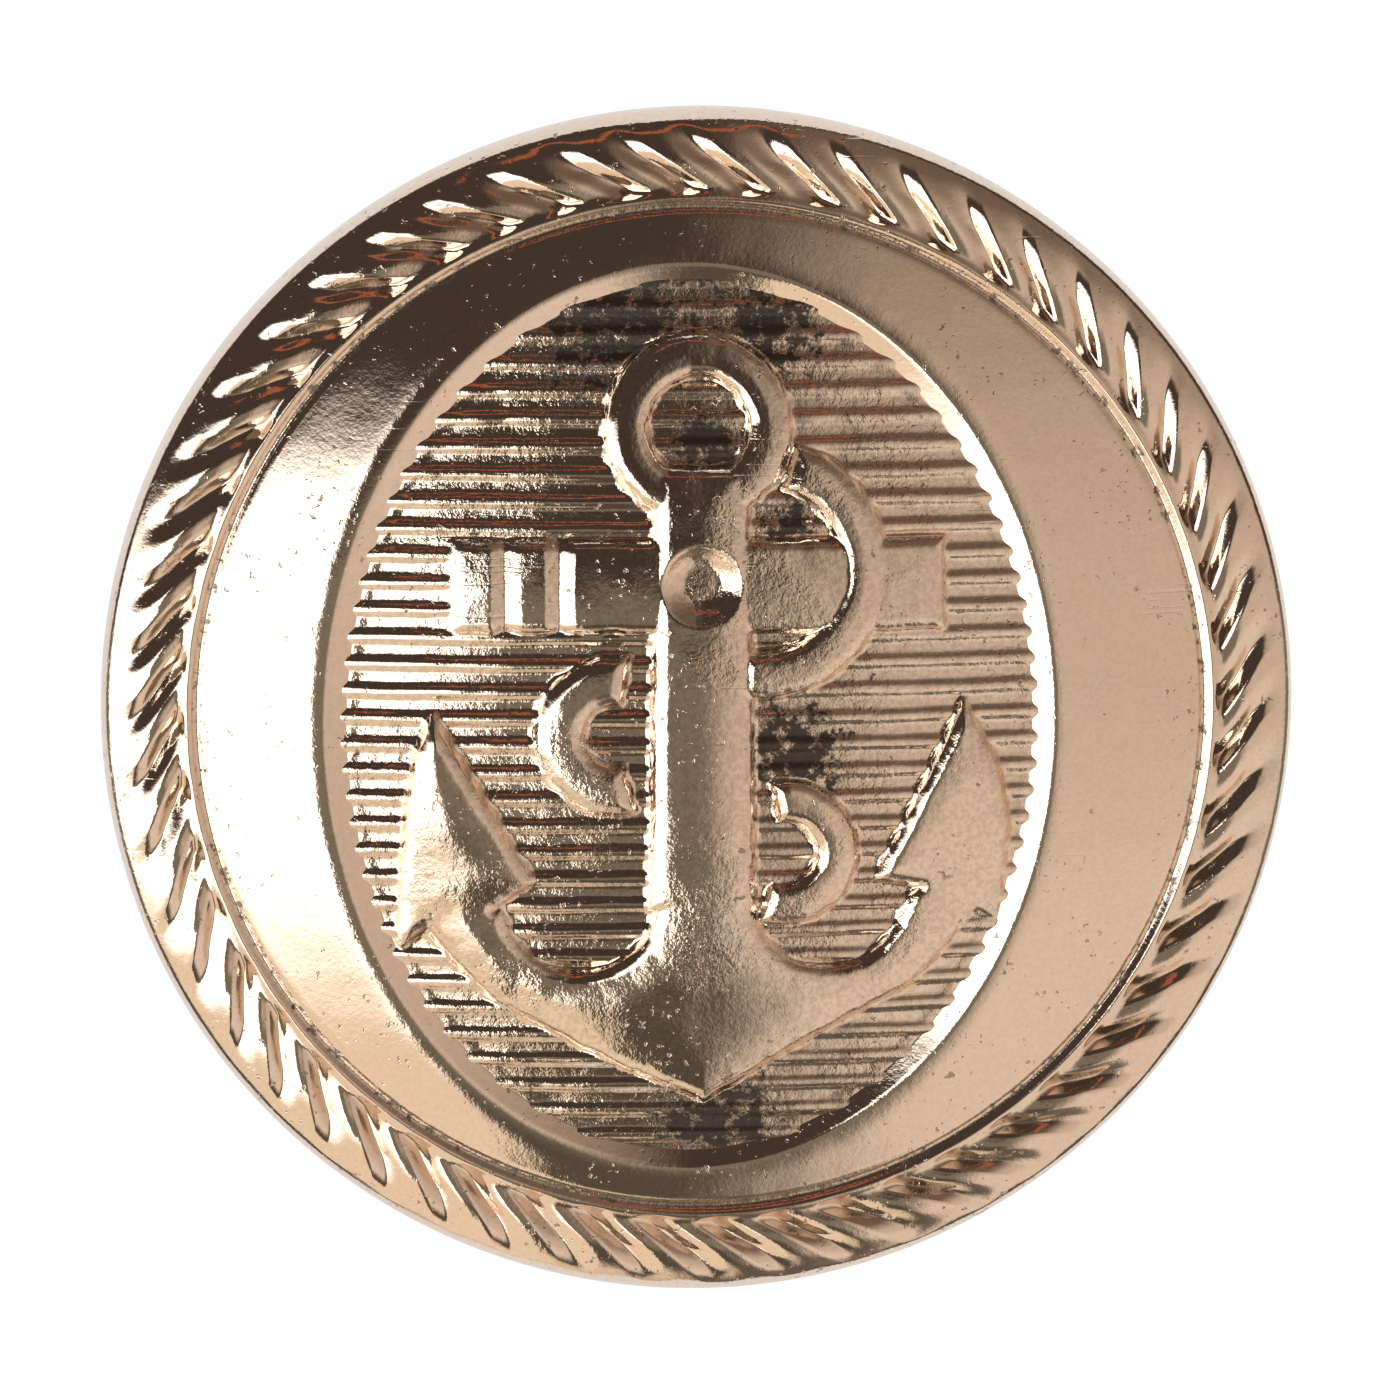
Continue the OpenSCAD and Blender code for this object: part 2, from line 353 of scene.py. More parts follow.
def satin_back():
    """Plated brass as the press left it, with faint turned rings."""
    made, g = material("satin_rose_gold_back")
    at = object_place(g)
    x, y, z = g.split(at)
    radius = (x * x + z * z).sqrt()
    rings = g.noise(g.join(radius * 9.0, 0.0, 0.0), 0.00035, 3.0, 0.7)
    cloud = g.noise(at, 0.0031, 3.0)
    grain = g.noise(at, 0.00009, 2.0)
    hollow = stored(g, "hollow")
    stain_and_painted_shade = (hollow * g.noise(at, 0.0009, 3.0, 0.65).ramp(0.40, 0.66)).clamp()
    colour = g.mix(cloud.ramp(0.35, 0.7), rgb(0.90, 0.66, 0.49), rgb(0.83, 0.62, 0.47))
    colour = g.mix(stain_and_painted_shade * 0.75, colour, rgb(0.16, 0.10, 0.06))
    rough = (0.20 + cloud * 0.12 + rings * 0.06 + stain_and_painted_shade * 0.3).clamp()
    finish_material(g, base_color=colour, roughness=rough, metallic=1.0 - stain_and_painted_shade * 0.4,
                    normal=bump(g, rings * 0.6 + grain * 0.4, 0.22, FINE))
    return made


def drawn_wire():
    """Plated wire with die lines along it and wear on the bow."""
    made, g = material("drawn_wire")
    at = object_place(g)
    around = stored(g, "around")
    along = stored(g, "along")
    lines = g.noise(g.join(around * 6.0, along * 0.15, 0.0), 0.35, 3.0, 0.7)
    cloud = g.noise(at, 0.0017, 2.0)
    worn = (1.0 - (along - 0.5).abs() * 3.0).clamp()
    colour = g.mix(cloud.ramp(0.3, 0.7), rgb(0.84, 0.62, 0.45), rgb(0.78, 0.60, 0.46))
    colour = g.mix(worn * cloud * 0.5, colour, rgb(0.93, 0.79, 0.60))
    rough = (0.24 + lines * 0.14 - worn * 0.06).clamp()
    finish_material(g, base_color=colour, roughness=rough,
                    metallic=1.0 - lines.ramp(0.62, 0.8) * 0.2,
                    normal=bump(g, lines, 0.35, FINE))
    return made


def tinned_steel():
    made, g = material("tinned_steel")
    at = object_place(g)
    spangle = g.add("ShaderNodeTexVoronoi", None, {"Vector": at, "Scale": 1600.0})
    grey = g.noise(at, 0.0012, 3.0)
    colour = g.mix(grey, rgb(0.42, 0.42, 0.43), rgb(0.66, 0.66, 0.67))
    finish_material(g, base_color=colour, roughness=(0.32 + spangle * 0.25).clamp(),
                    metallic=1.0 - grey.ramp(0.6, 0.9) * 0.3,
                    normal=bump(g, grey + spangle * 0.3, 0.2, FINE))
    return made


def strawboard():
    made, g = material("strawboard", metallic=0.0)
    at = object_place(g)
    fibre = g.noise(g.stretch(at, (1.0, 3.0, 0.35)), 0.00018, 3.0, 0.7)
    fleck = g.noise(at, 0.0004, 2.0)
    colour = g.mix(fibre, rgb(0.26, 0.18, 0.10), rgb(0.55, 0.43, 0.27))
    colour = g.mix(fleck.ramp(0.66, 0.74), colour, rgb(0.12, 0.08, 0.04))
    finish_material(g, base_color=colour, roughness=(0.85 + fibre * 0.12).clamp(),
                    normal=bump(g, fibre, 0.6, 0.00004))
    return made


# ---------------------------------------------------------------------------
# Geometry Nodes: a die tree presses its pattern into a blank.

def die_tree(name, sizes, objects=()):
    """A node tree with the blank, its sizes and its outlines as named inputs."""
    tree = bpy.data.node_groups.new(name, "GeometryNodeTree")
    tree.interface.new_socket("Blank", in_out="INPUT", socket_type="NodeSocketGeometry")
    for key, value in sizes.items():
        socket = tree.interface.new_socket(key, in_out="INPUT", socket_type="NodeSocketFloat")
        socket.default_value = value
    for key in objects:
        tree.interface.new_socket(key, in_out="INPUT", socket_type="NodeSocketObject")
    tree.interface.new_socket("Finish", in_out="INPUT", socket_type="NodeSocketMaterial")
    tree.interface.new_socket("Pressed", in_out="OUTPUT", socket_type="NodeSocketGeometry")
    g = Graph(tree)
    entry = tree.nodes.new("NodeGroupInput")
    g.inputs = {socket.name: Term(g, socket) for socket in entry.outputs if socket.name}
    return g


def close_tree(g, geometry):
    whole = g.add("GeometryNodeRealizeInstances", None, {0: geometry})
    whole = g.add("GeometryNodeSetMaterial", None, {"Geometry": whole, "Material": g.inputs["Finish"]})
    leave = g.tree.nodes.new("NodeGroupOutput")
    g.tree.links.new(whole.socket, leave.inputs[0])


def press(piece, g, values):
    """Runs a die tree on a piece and keeps the result as the piece's own mesh."""
    modifier = piece.modifiers.new("die", "NODES")
    modifier.node_group = g.tree
    for item in g.tree.interface.items_tree:
        if item.in_out == "INPUT" and item.name in values:
            modifier[item.identifier] = values[item.name]
    bpy.context.view_layer.update()
    evaluated = piece.evaluated_get(bpy.context.evaluated_depsgraph_get())
    pressed = bpy.data.meshes.new_from_object(evaluated)
    piece.modifiers.remove(modifier)
    piece.data = pressed
    pressed.name = piece.name
    return piece


def keep_value(g, geometry, name, value):
    return g.add("GeometryNodeStoreNamedAttribute", {"data_type": "FLOAT", "domain": "POINT"},
                 {"Geometry": geometry, "Name": name, "Value": value})


def read_value(g, name):
    return g.add("GeometryNodeInputNamedAttribute", {"data_type": "FLOAT"}, {"Name": name})


# ---------------------------------------------------------------------------
# The rim: dome, oval wall, groove, rope border, side wall and crimped lip, in one sheet

LEAN = 1.15                                    # strands that one valley crosses, end to end
ROPE_IN_R = 10.02                              # the valleys run between these two radii
ROPE_OUT_R = 11.36
START_JITTER = 0.07                            # how unevenly the strands start, in strands
ROUND_W = 0.45                                 # width over which the dome rolls into the wall
ROUND_DROP = 0.05
WALL_SHARE = 0.82                              # part of the wall's width below that roll

# the groove's and the rope border's section before the valleys are pressed, as (radius, height)
ROPE_SECTION = [(9.48, 2.70), (9.55, 2.67), (9.61, 2.615), (9.67, 2.585), (9.73, 2.61), (9.79, 2.67),
                (9.84, 2.70), (9.89, 2.69), (9.97, 2.645), (10.05, 2.625), (10.2, 2.64),
                (10.4, 2.662), (10.6, 2.652), (10.8, 2.605), (11.0, 2.525), (11.15, 2.44), (11.3, 2.31),
                (11.4, 2.17), (11.46, 1.99), (11.5, 1.75)]
# where the columns of one strand stand, as shares of it; the steep wall takes seven of them
COLUMN_STOPS = (0.0, 0.03, 0.07, 0.11, 0.15, 0.19, 0.23, 0.26, 0.30, 0.36, 0.43, 0.51, 0.60, 0.70,
                0.80, 0.90)


def oval_r(oval, angle):
    a, b = oval
    return a * b / np.sqrt((b * np.cos(angle)) ** 2 + (a * np.sin(angle)) ** 2)


def rim_rows(foot, top):
    """The closed section of the rim as rows of (radius, height, 1 outside or 0 elsewhere)."""
    rows = []

    def row(r, h, outside=1.0):
        rows.append((r + 0 * top, h + 0 * top, outside))

    # oval wall, from under the field up to the dome, with a small round at its top edge
    row(foot - 0.02, field_h(foot) - 0.2)
    edge = top + ROUND_W
    turn_r = foot + WALL_SHARE * (top - foot)
    fall = dome_h(top) - ROUND_DROP - field_h(foot)
    for t in (0.0, 0.15, 0.3, 0.45, 0.6, 0.72, WALL_SHARE):
        row(foot + (top - foot) * t, field_h(foot) + fall * t)
    for t in (0.30, 0.42, 0.55, 0.70, 0.85, 1.0):
        r = turn_r + (edge - turn_r) * (t - 1 + WALL_SHARE) / WALL_SHARE
        drop = (1 - (r - top) / (edge - top)).clip(0, 2) ** 2 * ROUND_DROP
        row(r, dome_h(r) - drop)
    for t in np.linspace(0.08, 1, 13)[:-1]:
        r = edge + (DOME_EDGE_R - edge) * t
        row(r, dome_h(r))
    # groove, rope border, side wall and the lip round to its cut edge
    for r, h in smooth_line(ROPE_SECTION, 56):
        row(r, h)
    bend = (RIM_R - BEND_R, LIP_H + BEND_R)
    row(RIM_R, bend[1] + 0.2)
    lip_in_r = RIM_R - LIP_W
    for r, h in arc(bend, BEND_R, 0, -90, 9):
        row(r, h, 0.0)
    row(lip_in_r + 0.3, LIP_H, 0.0)
    row(lip_in_r + BREAK, LIP_H, 0.0)
    row(lip_in_r, LIP_H + BREAK, 0.0)
    row(lip_in_r, LIP_H + SHEET_T - BREAK, 0.0)
    row(lip_in_r + BREAK, LIP_H + SHEET_T, 0.0)
    # the inside of the sheet, back to the oval wall
    for r, h in arc(bend, BEND_R - SHEET_T, -90, 0, 5):
        row(r, h, 0.0)
    for r, h in ((11.45, 2.0), (11.2, 2.4), (10.8, 2.5)):
        row(r - SHEET_T * 0.9, h - SHEET_T, 0.0)
    row(9.7, 2.2, 0.0)
    row(9.4, dome_h(9.4) - SHEET_T, 0.0)
    row(top + 0.3, dome_h(top + 0.3) - SHEET_T, 0.0)
    row(top, field_h(top) - 0.3, 0.0)
    row(foot + 0.06, field_h(foot) - 0.3, 0.0)
    return rows


def rim_blank():
    starts = np.arange(STRANDS) + random.uniform(-START_JITTER, START_JITTER, STRANDS)
    widths = np.diff(np.append(starts, starts[0] + STRANDS))
    stops = np.array(COLUMN_STOPS)
    angle = (starts[:, None] + widths[:, None] * stops).ravel() / STRANDS * TAU
    columns = len(angle)
    foot, top = oval_r(OVAL_FOOT, angle), oval_r(OVAL_TOP, angle)
    rows = rim_rows(foot, top)
    radius = np.array([r for r, h, o in rows])
    height = np.array([h for r, h, o in rows])
    outside = np.repeat([o for r, h, o in rows], columns)
    # the columns follow the valleys across the rope border, and run straight inside the groove
    t = np.clip((ROPE_OUT_R - radius) / (ROPE_OUT_R - ROPE_IN_R), 0, 1)
    ease = np.clip((radius - top) / (ROPE_IN_R - top), 0, 1)
    shear = np.where(radius < ROPE_IN_R, ease, t ** 1.5) * LEAN / STRANDS * TAU
    theta = np.where(radius < DOME_EDGE_R - 0.01, angle, angle - shear)
    # the oval is shifted whole, and the dome takes up the shift
    edge = top + ROUND_W
    hold = np.clip((DOME_EDGE_R - radius) / (DOME_EDGE_R - edge), 0, 1) ** 0.8
    across = radius * np.cos(theta) + OVAL_SHIFT[0] * hold
    up = radius * np.sin(theta) + OVAL_SHIFT[1] * hold
    height = height + dome_h(np.minimum(np.hypot(across, up), RIM_R)) - dome_h(radius)
    faces = grid_faces(len(rows), columns, wrap_rows=True)
    piece = make_piece("shell_rim", place(across, up, height), faces)
    keep_on_points(piece, "outside", outside)
    keep_on_points(piece, "phase", np.tile(np.tile(stops, STRANDS), len(rows)))
    return outward(piece)


def rope_die():
    """Presses the valleys between the strands of the rope border, and stores painted shade for the
    groove and the valleys.
    """
    sizes = {"Valley Depth": 0.19, "Steep Side": 0.25, "Gentle Side": 0.45, "Unevenness": 0.7}
    g = die_tree("rope_border_die", sizes)
    size = g.inputs
    x, y, z = g.split(g.add("GeometryNodeInputPosition"))
    x, z = x / MM, z / MM
    radius = (x * x + z * z).sqrt()
    t = ((ROPE_OUT_R - radius) / (ROPE_OUT_R - ROPE_IN_R)).max(0.0)
    phase = read_value(g, "phase")
    steep = (phase / size["Steep Side"]).clamp()
    gentle = 1.0 - ((phase - size["Steep Side"]) / size["Gentle Side"]).clamp()
    cut = steep * gentle * gentle * (3.0 - 2.0 * gentle)
    fade = ((t - 0.07) / 0.5).clamp() ** 1.1 * (1.0 - t.ramp(0.90, 1.12))
    strength = 1.0 + (g.noise(g.join(x, z, 3.0), 1.7, 1.0) - 0.5) * size["Unevenness"]
    depth = cut * fade * strength * size["Valley Depth"] * read_value(g, "outside")
    normal = g.add("GeometryNodeInputNormal")
    push = g.add("ShaderNodeVectorMath", {"operation": "SCALE"}, {0: normal, "Scale": depth * -MM})
    pressed = g.add("GeometryNodeSetPosition", None, {"Geometry": size["Blank"], "Offset": push})
    # painted shade: the groove and the rope border's valleys are stored as a darkening of the rim's
    # colour, in place of the shade that falls into these narrow recesses
    groove = radius.ramp(9.5, 9.6) * (1.0 - radius.ramp(9.72, 9.84))
    hollow = (groove * 0.6 + cut * fade * 0.25) * read_value(g, "outside")
    close_tree(g, keep_value(g, pressed, "hollow", hollow))
    return g


# ---------------------------------------------------------------------------
# The sunk field: ribs, and the anchor drawn as flat outlines that the die raises

SHAFT_SIDE = [(-0.86, 4.53), (-0.97, -3.95)]
LEFT_FLUKE = [(-3.88, -3.94), (-3.14, -3.41), (-5.10, -0.18), (-5.36, -0.84), (-5.57, -1.92),
              (-5.69, -3.30), (-5.77, -4.38), (-5.69, -4.71), (-5.18, -4.34), (-5.10, -4.51),
              (-4.63, -5.08), (-3.98, -5.73), (-3.06, -6.24), (-1.67, -6.98)]
CROWN = (0.12, -7.80)
RIGHT_FLUKE = [(1.69, -6.82), (3.08, -6.05), (4.0, -5.63), (4.65, -5.02), (5.30, -4.20),
               (5.91, -4.57), (5.94, -3.49), (6.0, -2.35), (5.72, -1.20), (5.06, 0.02),
               (3.36, -3.41), (4.20, -3.59)]


def anchor_outline():
    """The shaft, both arms with their flukes, and the pointed crown, left side first."""
    return np.vstack([SHAFT_SIDE, arc((-2.3, -3.72), 1.46, -9, -174, 18), LEFT_FLUKE, [CROWN],
                      RIGHT_FLUKE, arc((2.45, -3.62), 1.5, -10, -171, 18), [(1.03, -3.9), (0.9, 4.53)]])


def bent_bar(centre, middle_r, half_w, start, end):
    """The outline of a round coil seen from the front."""
    outer = arc(centre, middle_r + half_w, start, end, 28)
    inner = arc(centre, middle_r - half_w, end, start, 28)
    return np.vstack([outer, inner])


def flat_outline(name, points):
    flat = place(points[:, 0] + ANCHOR_SHIFT[0], points[:, 1] + ANCHOR_SHIFT[1],
                 np.full(len(points), SEAT_Y))
    return make_piece(name, flat, [tuple(range(len(points)))])


def field_blank(across=232, row_gap=RIB_PITCH / RIB_ROWS):
    """The field's sheet before it is pressed, with rows that run along the ribs."""
    a, b = OVAL_BLANK
    count = int(2 * b / row_gap)
    up = np.linspace(-b + 0.02, b - 0.02, count)
    half = a * np.sqrt(1 - (up / b) ** 2)

    def sheet(share, drop=0.0):
        """Points of one face of the sheet, at shares of its half width in each row."""
        x = half[:, None] * share + OVAL_SHIFT[0]
        z = up[:, None] + OVAL_SHIFT[1] + 0 * share
        return place(x, z, field_h(np.hypot(x, z)) - drop)

    top = sheet(np.linspace(-1, 1, across))
    back = sheet(np.linspace(-1, 1, 7), FIELD_SKIRT)
    points = np.vstack([top.reshape(-1, 3), back.reshape(-1, 3)])
    faces = grid_faces(count, across, wrap_columns=False)
    start, width = count * across, back.shape[1]
    faces += [tuple(start + k for k in reversed(f))
              for f in grid_faces(count, width, wrap_columns=False)]
    for i in range(count - 1):
        t, u = i * across, start + i * width
        faces.append((t, u, u + width, t + across))
        t, u = t + across - 1, u + width - 1
        faces.append((t, t + across, u + width, u))
    low = list(range(across)) + [start + k for k in reversed(range(width))]
    high = [(count - 1) * across + k for k in range(across)]
    high = high[::-1] + [start + (count - 1) * width + k for k in range(width)]
    faces += [tuple(low), tuple(high)]
    piece = make_piece("shell_field", points, faces)
    keep_on_points(piece, "outside", np.repeat([1.0, 0.0], [count * across, count * width]))
    return outward(piece)


# for each raised outline: relief, width of its rounded edge, and how much its middle swells
RAISED = {
    "Body": (0.28, 0.31, 0.085),
    "Stock": (0.25, 0.28, 0.03),
    "Ring": (0.28, 0.27, 0.05),
    "Large Coil": (0.29, 0.30, 0.05),
    "Left Coil": (0.25, 0.32, 0.05),
    "Right Coil": (0.25, 0.28, 0.04),
}
STOCK_CUTS = (-3.83, -2.80)                    # grooves across the stock's left arm
STOCK_CUT_W = 0.27                             # half their width
STOCK_CUT_H = 0.17
CROSSING = (-0.10, 2.59)                       # the round dimple where the stock is pinned
DIMPLE_FLOOR_R = 0.30
DIMPLE_SIDE_W = 0.46
DIMPLE_H = 0.30
# tarnished spots of the field, as (across, up, reach)
TARNISH = ((1.6, -0.6, 1.6), (0.0, 5.1, 1.1), (1.2, 7.4, 1.7), (0.2, -8.0, 2.0), (-1.6, 7.6, 2.6),
           (1.6, 3.6, 0.9))


def gap_to(across, up, spot_across, spot_up):
    dx, dz = across - spot_across, up - spot_up
    return (dx * dx + dz * dz).sqrt()


def ribs(g, across, up):
    """The ribs' height, and how far down a valley each point is, from 0 to 1."""
    wander = g.noise(g.join(across * 0.45, 0.0, up * 1.7), 1.0, 2.0) - 0.5
    turns = (up - 0.005 + wander * g.inputs["Wander"]) / g.inputs["Rib Pitch"]
    phase = (turns + 0.5 + 100.0).frac()
    valley = 1.0 - phase.ramp(0.22, 0.50) * (1.0 - phase.ramp(0.62, 0.90))
    worn = 1.0 - 0.25 * g.noise(g.join(across, 0.0, up), 2.3, 2.0).ramp(0.45, 0.7)
    share_x = (across - OVAL_SHIFT[0]) / OVAL_FOOT[0]
    share_z = (up - OVAL_SHIFT[1]) / OVAL_FOOT[1]
    edge = (share_x * share_x + share_z * share_z).sqrt()
    filled = valley * (1.0 - 0.25 * edge.ramp(0.965, 1.0))
    return (1.0 - filled) * g.inputs["Rib Height"] * worn, valley


def reach_inside(g, outline, near_x, near_z):
    """Millimetres from an outline's edge, more than 0 inside it."""
    shape = g.add("GeometryNodeObjectInfo", {"transform_space": "ORIGINAL"},
                  {"Object": outline}, out=4)
    near = g.add("GeometryNodeProximity", {"target_element": "EDGES"},
                 {0: shape, "Sample Position": g.join(near_x, 0.0, near_z)}, out=1) / MM
    hit = g.add("GeometryNodeRaycast", None,
                {"Target Geometry": shape, "Source Position": g.join(near_x, -0.01, near_z),
                 "Ray Direction": (0.0, 1.0, 0.0), "Ray Length": 0.02})
    return near * (hit * 2.0 - 1.0) + g.inputs["Outset"]


def raised_part(g, key, inside, across, up):
    """Height of one part of the anchor above the field."""
    relief, edge_w, swell = RAISED[key]
    share = (inside / edge_w).clamp()
    rise = ((share * (math.pi / 2)).sin() * 0.7 + inside.ramp(0.0, 0.10) * 0.3) * relief
    rise = rise * g.inputs["Relief"]
    if key == "Body":
        # the arms fall away from the shaft, and the left fluke flares out
        rise = rise - across * across * 0.0066 * (-up).ramp(1.0, 4.0)
        rise = rise + (-across - 3.6).max(0.0) * 0.085
    rise = rise + (1.0 - (1.0 - inside.clamp()) ** 2.0) * swell
    if key == "Stock":
        end = across.ramp(-5.08, -4.62)
        rise = rise * end * end
        for cut_x in STOCK_CUTS:
            cut = 1.0 - ((across - cut_x).abs() / STOCK_CUT_W).clamp()
            rise = rise - cut ** 1.3 * STOCK_CUT_H
    return rise.max(0.02)


def face_die():
    """Presses the ribs and raises the anchor from its outlines."""
    sizes = {"Rib Pitch": RIB_PITCH, "Rib Height": 0.088, "Relief": 1.0, "Wander": 0.09,
             "Wobble": 0.09, "Outset": 0.07}
    g = die_tree("face_die", sizes, RAISED)
    x, y, z = g.split(g.add("GeometryNodeInputPosition"))
    across, up = x / MM, z / MM
    height, valley = ribs(g, across, up)
    # the anchor's edges wobble a little, so each point is looked up near its own place
    near_x, near_z = [
        (along + (g.noise(g.join(across, layer, up), 0.42, 1.0) - 0.5) * g.inputs["Wobble"]) * MM
        for along, layer in ((across, 0.0), (up, 9.0))]
    covered = None
    for key in RAISED:
        inside = reach_inside(g, g.inputs[key], near_x, near_z)
        cover = inside.ramp(-0.02, 0.02)
        height = height.max(cover * raised_part(g, key, inside, across, up))
        covered = cover if covered is None else covered.max(cover)
    side = ((gap_to(across, up, *CROSSING) - DIMPLE_FLOOR_R) / DIMPLE_SIDE_W).clamp()
    height = (height - (1.0 - side ** 1.8) * DIMPLE_H) * read_value(g, "outside")
    pressed = g.add("GeometryNodeSetPosition", None,
                    {"Geometry": g.inputs["Blank"], "Offset": g.join(0.0, height * -MM, 0.0)})
    hollow = valley * 0.25
    for spot_x, spot_up, reach in TARNISH:
        hollow = hollow.max(1.0 - (gap_to(across, up, spot_x, spot_up) / reach).clamp() ** 2.0)
    hollow = hollow * (1.0 - covered) * read_value(g, "outside")
    close_tree(g, keep_value(g, pressed, "hollow", hollow))
    return g


# ---------------------------------------------------------------------------
# The pieces

def front_shell():
    """The shell's two pieces: its rim, and the sunk field with the anchor."""
    rim_metal = rose_gold("polished_rose_gold", 0.045, 0.6, 0.8, 0.10, 0.3)
    field_metal = rose_gold("polished_rose_gold_field", 0.04, 0.9, 1.0, 0.30, 0.8)
    rim = press(rim_blank(), rope_die(), {"Finish": rim_metal})
    # the ring is a bent bar whose ends lie inside the shaft
    outlines = {
        "Body": anchor_outline(),
        "Stock": np.array([(-4.98, 1.42), (4.66, 1.42), (4.66, 3.15), (-4.98, 3.15)]),
        "Ring": bent_bar((-0.02, 5.28), 1.37, 0.40, -89.5, 269.5),
        "Large Coil": bent_bar((1.12, 2.59), 2.02, 0.43, 72, -100),
        "Left Coil": bent_bar((-1.63, -0.55), 1.06, 0.45, 80, 285),
        "Right Coil": bent_bar((1.61, -2.86), 1.01, 0.38, 100, -110),
    }
    drawn = {key: flat_outline("outline", points) for key, points in outlines.items()}
    field = press(field_blank(), face_die(), {"Finish": field_metal, **drawn})
    for outline in drawn.values():
        bpy.data.objects.remove(outline)
    return rim, field


PLATE_T = 0.4
WIRE_R = (wire_high[2] - wire_low[2]) / MM / 2
WASHER_R = washer_high[0] / MM
LEG_X = WASHER_R - 0.6 - WIRE_R                # the legs stand this far from the middle
PLATE_DIMPLE_H = 0.3                           # the round dimple that the wire comes out of
BEAD_R = 0.35                                  # the stiffening bead
BEAD_AT = 7.7


def back_line(lift):
    """One face of the back plate, from its dimple to the edge of its flange."""
    floor_r = WASHER_R + 0.3
    seat_in = floor_r + PLATE_DIMPLE_H
    seat_out = seat_in + 1.5
    flange_in, flange_h = RIM_R - LIP_W, LIP_H + SHEET_T

    def cone(r):
        return flange_h * (r - seat_out) / (flange_in - seat_out)

    def on_cone(r, above=0.0):
        return r, cone(r) + above

    line = [(floor_r - 0.12, PLATE_DIMPLE_H), (floor_r, PLATE_DIMPLE_H - 0.03), (seat_in, 0.03),
            (seat_in + 0.12, 0.0), (seat_out - 0.15, 0.0), on_cone(seat_out + 0.15, 0.012),
            on_cone(BEAD_AT - BEAD_R - 0.1)]
    line += [tuple(p) for p in arc(on_cone(BEAD_AT, 0.02), BEAD_R, 200, 340, 15)]
    line += [on_cone(BEAD_AT + BEAD_R + 0.1), on_cone(flange_in - 0.1), (flange_in + 0.1, flange_h),
             (plate_high[0] / MM, flange_h)]
    return [(r, h + lift) for r, h in line]


def drill(piece, radius):
    """Cuts the two round holes for the wire through a flat piece."""
    cutters = []
    for across in (-LEG_X, LEG_X):
        cutter = spin("cutter", [(0, -3.0), (radius, -3.0), (radius, 5.0), (0, 5.0)], steps=64)
        cutter.data.transform(Matrix.Translation((across * MM, 0, 0)))
        cutters.append(cutter)
        cut = piece.modifiers.new("hole", "BOOLEAN")
        cut.operation = "DIFFERENCE"
        cut.solver = "EXACT"
        cut.object = cutter
    bpy.context.view_layer.update()
    evaluated = piece.evaluated_get(bpy.context.evaluated_depsgraph_get())
    cut_mesh = bpy.data.meshes.new_from_object(evaluated)
    piece.modifiers.clear()
    piece.data = cut_mesh
    for cutter in cutters:
        bpy.data.objects.remove(cutter)
    cut_mesh.set_sharp_from_angle(angle=math.radians(SHARP_EDGE))


def back_plate():
    floor = [(0.0, PLATE_DIMPLE_H), (1.2, PLATE_DIMPLE_H)]
    roof = [(r, h + PLATE_T) for r, h in reversed(floor)]
    piece = spin("back_plate_pressed", floor + back_line(0.0) + back_line(PLATE_T)[::-1] + roof)
    drill(piece, WIRE_R + 0.04)
    coat(piece, satin_back())
    return piece


def wire_path():
    """The wire's middle line as (across, height): foot, bend, leg, bow, leg, bend, foot."""
    foot_h = SEAT_Y - wire_low[1] / MM - WIRE_R
    bow_h = SEAT_Y - wire_high[1] / MM + WIRE_R + LEG_X
    bend = 0.75
    side = np.vstack([[(wire_high[0] / MM, foot_h)],
                      arc((LEG_X + bend, foot_h - bend), bend, 90, 180, 12),
                      [(LEG_X, bow_h + 0.4)], arc((0, bow_h), LEG_X, 0, -90, 24)])
    return np.vstack([side, side[-2::-1] * (-1, 1)])


def wire_loop(sides=28):
    line = smooth_line(wire_path(), 190)
    step = np.gradient(line, axis=0)
    step /= np.linalg.norm(step, axis=1)[:, None]
    out = np.stack([step[:, 1], -step[:, 0]], axis=-1)
    turn = np.arange(sides) / sides * TAU
    radius = np.full((len(line), 1), WIRE_R)
    sheared = np.array([[0.80], [0.94], [1.0]])     # the cut ends are rounded off
    radius[:3] *= sheared
    radius[-3:] *= sheared[::-1]
    across = line[:, :1] + out[:, :1] * np.cos(turn) * radius
    height = line[:, 1:] + out[:, 1:] * np.cos(turn) * radius
    points = place(across, np.sin(turn) * radius, height).reshape(-1, 3)
    faces = grid_faces(len(line), sides)
    faces.append(tuple(range(sides)))
    faces.append(tuple(reversed(range(len(points) - sides, len(points)))))
    piece = outward(make_piece("wire_loop", points, faces, 50))
    keep_on_points(piece, "around", np.tile(turn / TAU, len(line)))
    keep_on_points(piece, "along", np.repeat(np.linspace(0, 1, len(line)), sides))
    coat(piece, drawn_wire())
    return piece


def clinch_washer():
    low, high = SEAT_Y - washer_high[1] / MM, SEAT_Y - washer_low[1] / MM
    section = [(0, low), (WASHER_R - 0.08, low), (WASHER_R, low + 0.06), (WASHER_R, high - 0.1),
               (WASHER_R - 0.12, high), (0, high)]
    piece = spin("washer_disc", section, steps=160)
    drill(piece, 0.75)
    coat(piece, tinned_steel())
    return piece


def filler_ring():
    out, bore = card_high[0] / MM, 4.8
    low, high = SEAT_Y - card_high[1] / MM, SEAT_Y - card_low[1] / MM
    section = [(bore, low + BREAK), (bore + BREAK, low), (out - BREAK, low), (out, low + BREAK),
               (out, high - BREAK), (out - BREAK, high), (bore + BREAK, high), (bore, high - BREAK)]
    piece = spin("card_ring", section, steps=200)
    coat(piece, strawboard())
    return piece


